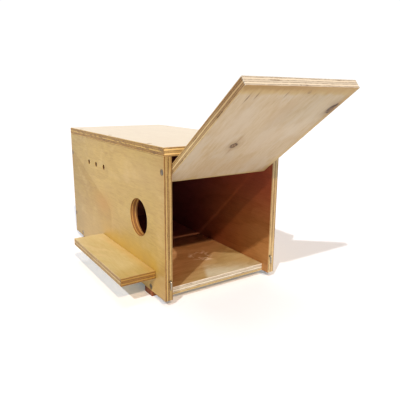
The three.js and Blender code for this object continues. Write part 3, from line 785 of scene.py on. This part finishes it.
# ---- rear wall
cuts = []
for node, at, d, ln, body in SCREWS:
    if node.startswith(("pivot_screw_right", "end_screw_right", "floor_screw_right")):
        cuts.append(screw_hole(*at, d, 13.0))
    if node.startswith("roof_screw_right"):
        cuts.append(pilot(at[0], at[1], 202.0, NZ, ln - 12.1 + 0.6))
cuts.append(pilot(0, 191.8, 28.5, NX, 16.5))
board("rear_wall", (-386, 188, 0), (0, 200, 202), (X, Z, Y), (-386, 188, 0),
      plywood("rear_ply", (386, 202, 12), 2.3, WOOD_FACE, WOOD_DEEP, lin(0.70, 0.55, 0.28), lin(0.31, 0.18, 0.065), figure=0.8,
              face_marks_light_and_shade=rear_shade_and_marks, rings=7.0, knots=((250, 64, 4.5, 1.15, 0.7, "high"),)), cuts=cuts)

# ---- closed end
cuts = []
for node, at, d, ln, body in SCREWS:
    if node.startswith("end_screw"):
        y0, dd = (12.1, Y) if "left" in node else (187.9, NY)
        cuts.append(pilot(at[0], y0, at[2], dd, ln - 12.1 + 0.6))
board("end_panel", (-386, 12.1, 0), (-374, 187.9, 202), (Z, Y, X), (-386, 12.1, 0),
      plywood("end_ply", (202, 175.8, 12), 3.7, WOOD_FACE, WOOD_DEEP, EDGE_LIGHT, EDGE_DARK, figure=1.0,
              face_marks_light_and_shade=end_inner_shade, rings=8.0, knots=((128, 118, 5.0, 1.2, 0.8, "low"),)), cuts=cuts)

# ---- floor
cuts = []
for node, at, d, ln, body in SCREWS:
    if node.startswith("floor_screw"):
        y0, dd = (12.1, Y) if "left" in node else (187.9, NY)
        cuts.append(pilot(at[0], y0, at[2], dd, ln - 12.1 + 0.6))
    if node.startswith("batten_screw"):
        cuts.append(pilot(at[0], at[1], 0.0, Z, ln - 9.0 + 0.6))
board("floor_panel", (-373.9, 12.1, 0), (-14, 187.9, 12), (Y, X, Z), (-373.9, 12.1, 0),
      plywood("floor_ply", (175.8, 359.9, 12), 4.9, WOOD_FACE, WOOD_DEEP, rgb(221, 218, 202), rgb(168, 156, 132), figure=0.9,
              face_marks_light_and_shade=floor_light_shade_and_marks, edge_marks_and_shade=floor_edges, rings=7.0, rough=0.62, coat=0.0), cuts=cuts)

# ---- roof
cuts = [screw_hole(*at, d, 13.0) for node, at, d, ln, body in SCREWS if node.startswith("roof_screw")]
board("roof_panel", (-386, 0, 202.1), (0, 200, 214.1), (X, Y, Z), (-386, 0, 202.1),
      plywood("roof_ply", (386, 200, 12), 6.1, lin(0.68, 0.535, 0.29), lin(0.58, 0.42, 0.20), EDGE_LIGHT, EDGE_DARK,
              figure=0.5, face_marks_light_and_shade=roof_inner_shade, edge_marks_and_shade=roof_edges, lines=1.35, rings=6.0, rough=0.40, coat=0.92), cuts=cuts)

# ---- landing board
cuts = [pilot(x, -0.1, 30.5, NY, 32 - 12.1 + 0.6) for x in (-70.0, -187.0)]
board("landing_board", (-229, -53, 24.5), (-28, -0.1, 36.5), (X, Y, Z), (-229, -53, 24.5),
      plywood("landing_ply", (201, 52.9, 12), 7.4, lin(0.55, 0.46, 0.225), lin(0.44, 0.33, 0.12), lin(0.60, 0.45, 0.20), lin(0.25, 0.115, 0.022),
              figure=0.5, rings=3.0, rough=0.42, coat=0.30, face_marks_light_and_shade=board_marks, edge_marks_and_shade=board_edges, lines=1.2,
              streaks=((120, 24, 34, 7, 0.22, lin(0.55, 0.44, 0.24)),)), arris=0.7, cuts=cuts)

# ---- hatch, built hanging shut and then swung open
cuts = [pilot(-6.4, 12.8, 181, Y, 32 - 12.8 + 0.8), pilot(-6.4, 187.2, 181, NY, 32 - 12.8 + 0.8)]
turn = Matrix.Translation(PIVOT) @ Matrix.Rotation(OPEN, 4, Vector(HINGE["axis"])) @ Matrix.Translation(-PIVOT)
board("hatch_panel", (-12.4, 12.8, -4), (-0.4, 187.2, 200.8), (NZ, Y, X), (-12.4, 12.8, 200.8),
      plywood("hatch_ply", (204.8, 174.4, 12), 8.2, lin(0.56, 0.42, 0.19), lin(0.44, 0.29, 0.105), lin(0.80, 0.65, 0.44), lin(0.30, 0.175, 0.075),
              figure=0.40, rings=5.0, rough=0.50, coat=0.10, edge_marks_and_shade=hatch_edges, face_marks_light_and_shade=hatch_marks, lines=1.15,
              bare=(lin(0.575, 0.462, 0.300), lin(0.435, 0.300, 0.146)), bare_zone=("low", 4.0, 13.0, 6.0),
              knots=((87.8, 59.2, 5.4, 1.10, 1.0, "low"), (163.8, 167.6, 7.4, 1.35, 1.35, "low"), (195.8, 97.2, 2.4, 1.2, 0.8, "low"),
                     (122.0, 62.0, 4.2, 1.2, 0.8, "high")),
              streaks=((74.0, 60.0, 10, 1.6, 0.40, rgb(150, 112, 78)), (102.0, 60.0, 9, 1.4, 0.35, rgb(140, 104, 74)),
                       (184.0, 16.0, 7, 0.9, 0.80, rgb(98, 66, 38)), (189.0, 26.0, 6, 0.8, 0.75, rgb(98, 66, 38)),
                       (192.0, 66.0, 6, 0.8, 0.70, rgb(98, 66, 38)), (190.0, 110.0, 6, 0.7, 0.50, rgb(112, 76, 46)))),
      arris=0.6, cuts=cuts, body="hatch", turn=turn)

# ---- battens under the floor
batten_wood = {}
for n, (name, x0, x1, sx) in enumerate((("front_batten", -64.5, -41.5, -53.0), ("rear_batten", -344.5, -321.5, -333.0))):
    cuts = [lathe([(a * MM, b * MM) for a, b in ((0, -1), (4.15, -1), (4.15, 0), (3.8, 0.4), (1.95, 2.75), (1.95, 9.9), (0, 9.9))],
                  24, B(sx, y, -9.0), Z) for y in (50.0, 150.0)]
    board(name, (x0, 0, -9), (x1, 200, -0.1), (Y, X, Z), (x0, 0, -9),
          hardwood("batten_wood_" + name, (200, 23, 8.9), 1.3 + n), arris=0.8, cuts=cuts)


# ---------------------------------------------------------------------- screws
def screw_mesh(length, turn_deg):
    """A countersunk wood screw with a real thread, head at the origin, pointing along +Z, in mm; the cross recess is
    cut into it afterwards.
    """
    sides = 24
    bm = bmesh.new()

    def ring(r, h):
        return [bm.verts.new((r * math.cos(2 * math.pi * i / sides), r * math.sin(2 * math.pi * i / sides), h)) for i in range(sides)]

    tip = 3.6
    rings = [[bm.verts.new((0, 0, 0.35 + 0.10))]]
    for r, h in ((1.6, 0.45), (2.9, 0.41), (3.30, 0.37), (3.46, 0.46), (3.50, 0.62), (3.42, 0.80), (1.62, 2.55), (1.42, 2.9), (1.42, 6.0)):
        rings.append(ring(r, h))
    # thread: a ridge that climbs one pitch each turn, drawn on rings that are themselves sheared round the axis
    pitch, start = 1.75, 6.4
    steps = int((length - 0.35 - tip - start) / (pitch / 5))
    for k in range(steps + 1):
        h = start + k * pitch / 5
        rr = []
        for i in range(sides):
            ph = ((h / pitch) - i / sides) % 1.0
            crest = max(0.0, 1 - abs(ph - 0.5) / 0.26)
            fade = min(1.0, k / 4)
            r = 1.12 + (0.46 * crest * fade) + 0.30 * (1 - fade)
            a = 2 * math.pi * i / sides
            rr.append(bm.verts.new((r * math.cos(a), r * math.sin(a), h)))
        rings.append(rr)
    end = start + steps * pitch / 5
    for j in range(1, 9):
        f = j / 9
        h = end + (length - 0.35 - end) * f
        rr = []
        for i in range(sides):
            ph = ((h / pitch) - i / sides) % 1.0
            crest = max(0.0, 1 - abs(ph - 0.5) / 0.26)
            r = (1.12 + 0.46 * crest) * (1 - f) ** 0.75 + 0.04
            a = 2 * math.pi * i / sides
            rr.append(bm.verts.new((r * math.cos(a), r * math.sin(a), h)))
        rings.append(rr)
    rings.append([bm.verts.new((0, 0, length - 0.05))])
    for a, b in zip(rings, rings[1:]):
        for i in range(sides):
            j = (i + 1) % sides
            if len(a) == 1:
                bm.faces.new((a[0], b[j], b[i]))
            elif len(b) == 1:
                bm.faces.new((a[i], a[j], b[0]))
            else:
                bm.faces.new((a[i], a[j], b[j], b[i]))
    bmesh.ops.recalc_face_normals(bm, faces=bm.faces)
    bmesh.ops.rotate(bm, verts=bm.verts, cent=(0, 0, 0), matrix=Matrix.Rotation(math.radians(turn_deg), 3, "Z"))
    bmesh.ops.scale(bm, verts=bm.verts, vec=(MM, MM, MM))
    return bm


def recess(turn_deg):
    """Cross-shaped driver recess, tapering in: two crossed wedges joined into one cutter each."""
    out = []
    for k in range(2):
        bm = bmesh.new()
        pts = [(2.05, -0.6), (2.05, 0.40), (1.25, 1.35), (0.55, 1.95)]
        top = []
        for s in (1, -1):
            rows = []
            for x, z in pts:
                half = 0.42 - 0.10 * max(z, 0)
                rows.append([bm.verts.new((s * x, -half, z)), bm.verts.new((s * x, half, z))])
            top.append(rows)
        a, b = top
        n = len(pts)
        for i in range(n - 1):
            bm.faces.new((a[i][0], a[i][1], a[i + 1][1], a[i + 1][0]))
            bm.faces.new((b[i][1], b[i][0], b[i + 1][0], b[i + 1][1]))
        for j in (0, 1):
            loop = [a[i][j] for i in range(n)] + [b[i][j] for i in range(n - 1, -1, -1)]
            bm.faces.new(loop if j == 0 else loop[::-1])
        bm.faces.new((a[0][0], b[0][0], b[0][1], a[0][1]))
        bm.faces.new((a[-1][0], a[-1][1], b[-1][1], b[-1][0]))
        bmesh.ops.recalc_face_normals(bm, faces=bm.faces)
        bmesh.ops.rotate(bm, verts=bm.verts, cent=(0, 0, 0), matrix=Matrix.Rotation(math.radians(turn_deg + 90 * k), 3, "Z"))
        bmesh.ops.scale(bm, verts=bm.verts, vec=(MM, MM, MM))
        out.append(bm)
    return out


zinc = metal("zinc_plate", lin(0.22, 0.19, 0.15), lin(0.07, 0.055, 0.04), 0.32, stain_amount=0.7)
patterns = {}
for ln in (LONG, SHORT):
    pattern = new_object("screw_pattern", to_mesh(screw_mesh(ln, 0.0), "screw_pattern"))
    subtract(pattern, recess(0.0))
    pattern.data.materials.clear()
    pattern.data.materials.append(zinc)
    soften(pattern, 40)
    patterns[ln] = pattern
for n, (node, at, d, ln, body) in enumerate(SCREWS):
    obj = new_object(node + "_detail", patterns[ln].data.copy())
    obj.data.transform(Matrix.Rotation(math.radians((n * 47.0 + 13.0) % 90.0), 4, "Z"))
    # the head's rim stays on the CAD screw's own top face: its length is measured from the wood's surface
    q = Vector((0, 0, 1)).rotation_difference(Vector(d)).to_matrix().to_4x4()
    place = Matrix.Translation(B(*at)) @ q
    if node.startswith("pivot_screw"):
        place = turn @ place
    obj.data.transform(place)
    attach(obj, body)
    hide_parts(node)

for pattern in patterns.values():
    me = pattern.data
    bpy.data.objects.remove(pattern)
    bpy.data.meshes.remove(me)

# ----------------------------------------------------------------------- hooks
wire = metal("hook_wire", lin(0.38, 0.34, 0.27), lin(0.16, 0.12, 0.08), 0.28, stain_amount=0.55)


def hook(node, y, body):
    R, bend, arm, out = 1.2, 2.2, 11.0, 2.4
    z0 = 28.5
    pts = []            # (x, z, tangent) in the hook's plane
    x_in = -16.0
    x_end = out - R - bend + R          # where the bend begins, measured on the wire's middle line
    x_end = out - bend
    n = 44
    for i in range(n):
        pts.append((x_in + (x_end - x_in) * i / n, z0, (1, 0)))
    for i in range(13):
        a = math.radians(90 * i / 12)
        pts.append((x_end + bend * math.sin(a), z0 - bend + bend * math.cos(a), (math.cos(a), -math.sin(a))))
    low = z0 - arm
    m = 14
    z1 = z0 - bend
    for i in range(1, m + 1):
        pts.append((x_end + bend, z1 + (low - z1) * i / m, (0, -1)))
    sides = 20
    bm = bmesh.new()
    rings = []
    total = len(pts)
    for k, (x, z, t) in enumerate(pts):
        r = R
        depth = x - x_in
        if x < -3.0 and t == (1, 0):
            # thread on the buried shank, running out to a point at the inner end
            taper = min(1.0, 0.25 + depth / 3.5)
            base = None
        side = Vector((0, 1, 0))
        up = Vector((t[0], 0, t[1])).cross(side)
        ring = []
        for i in range(sides):
            a = 2 * math.pi * i / sides
            rr = r
            if x < -3.0 and t == (1, 0):
                ph = (depth / 1.2 - i / sides) % 1.0
                crest = max(0.0, 1 - abs(ph - 0.5) / 0.3)
                rr = (0.92 + 0.26 * crest) * taper
            p = Vector((x, y, z)) + side * (rr * math.cos(a)) + up * (rr * math.sin(a))
            ring.append(bm.verts.new(B(*p)))
        rings.append(ring)
    # rounded far end
    x, z, t = pts[-1]
    caps = []
    for j in range(1, 5):
        a = math.radians(90 * j / 4)
        rr, dz = R * math.cos(a), 0.8 * math.sin(a)
        if j == 4:
            caps.append([bm.verts.new(B(x, y, z - dz))])
        else:
            side = Vector((0, 1, 0))
            up = Vector((t[0], 0, t[1])).cross(side)
            caps.append([bm.verts.new(B(*(Vector((x, y, z - dz)) + side * (rr * math.cos(2 * math.pi * i / sides)) + up * (rr * math.sin(2 * math.pi * i / sides)))))
                         for i in range(sides)])
    rings += caps
    first = bm.verts.new(B(pts[0][0], y, pts[0][1]))
    for i in range(sides):
        bm.faces.new((first, rings[0][(i + 1) % sides], rings[0][i]))
    for a, b in zip(rings, rings[1:]):
        for i in range(sides):
            j = (i + 1) % sides
            if len(b) == 1:
                bm.faces.new((a[i], a[j], b[0]))
            else:
                bm.faces.new((a[i], a[j], b[j], b[i]))
    bmesh.ops.recalc_face_normals(bm, faces=bm.faces)
    obj = new_object(node + "_wire", to_mesh(bm, node))
    obj.data.materials.append(wire)
    soften(obj, 50)
    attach(obj, body)
    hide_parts(node)
    return obj


hook("hook_left", 8.2, "left_hook")
hook("hook_right", 191.8, "right_hook")

# ------------------------------------------------------- floor, light, camera
bm = bmesh.new()
S = 8.0
cells = 8
grid = [[bm.verts.new((-S + 2 * S * i / cells, -S + 2 * S * j / cells, -0.0001)) for j in range(cells + 1)] for i in range(cells + 1)]
for i in range(cells):
    for j in range(cells):
        bm.faces.new((grid[i][j], grid[i + 1][j], grid[i + 1][j + 1], grid[i][j + 1]))
floor = new_object("studio_floor", to_mesh(bm, "studio_floor"))
F = Nodes("studio_white")
ft = F.t.nodes.new("ShaderNodeTexCoord")
F.put(F.bsdf.inputs["Base Color"], F.mix(F.noise(ft.outputs["Object"], 3.0, 2.0), (0.87, 0.89, 0.955, 1), (0.883, 0.902, 0.965, 1)))
F.bsdf.inputs["Roughness"].default_value = 0.85
F.bsdf.inputs["Emission Color"].default_value = (0.72, 0.86, 1.0, 1)
F.bsdf.inputs["Emission Strength"].default_value = 0.16
floor.data.materials.append(F.mat)

world = bpy.data.worlds.new("studio")
bpy.context.scene.world = world
world.use_nodes = True
wt = world.node_tree
wt.nodes.clear()
w_out = wt.nodes.new("ShaderNodeOutputWorld")
w_bg = wt.nodes.new("ShaderNodeBackground")
w_bg2 = wt.nodes.new("ShaderNodeBackground")
w_mix = wt.nodes.new("ShaderNodeMixShader")
w_lp = wt.nodes.new("ShaderNodeLightPath")
w_bg.inputs[0].default_value, w_bg.inputs[1].default_value = (1, 1, 1, 1), 1.05
w_bg2.inputs[0].default_value, w_bg2.inputs[1].default_value = (1.0, 0.98, 0.95, 1), 0.12
wt.links.new(w_lp.outputs["Is Diffuse Ray"], w_mix.inputs[0])
wt.links.new(w_bg.outputs[0], w_mix.inputs[1])
wt.links.new(w_bg2.outputs[0], w_mix.inputs[2])
wt.links.new(w_mix.outputs[0], w_out.inputs[0])


def sun(name, direction, color, strength, angle, glossy=True):
    d = bpy.data.lights.new(name, "SUN")
    d.color, d.energy, d.angle = color, strength, math.radians(angle)
    o = new_object(name, d)
    o.rotation_euler = Vector(direction).to_track_quat("-Z", "Y").to_euler()
    o.location = B(400, -400, 900)
    o.visible_glossy = glossy
    return o


sun("key", (-1.0, 1.39, -1.68), (1.0, 1.0, 1.0), 2.0, 1.2)
sun("second", (-1.0, 0.28, -0.93), (1.0, 0.72, 0.49), 2.0, 1.2)
sun("top", (-0.05, 0.05, -1.0), (1.0, 1.0, 1.0), 0.40, 20.0)
sun("back_fill", (0.62, -0.72, -0.35), (1.0, 0.97, 0.93), 0.50, 50.0, glossy=False)

cam_data = bpy.data.cameras.new("camera")
cam = new_object("camera", cam_data)
right = Vector((0.550114, 0.835052, 0.007954))
down = Vector((0.202692, -0.124276, -0.971325))
ahead = Vector((-0.810118, 0.535951, -0.237624))
m = Matrix((right, -down, -ahead)).transposed().to_4x4()
m.translation = B(479.656, -261.437, 279.206)
cam.matrix_world = m
cam_data.sensor_fit = "HORIZONTAL"
cam_data.sensor_width = 36.0
cam_data.lens = 38.657
cam_data.clip_start = 0.01
bpy.context.scene.camera = cam
bpy.context.scene.view_settings.view_transform = "Standard"
bpy.context.scene.view_settings.look = "None"
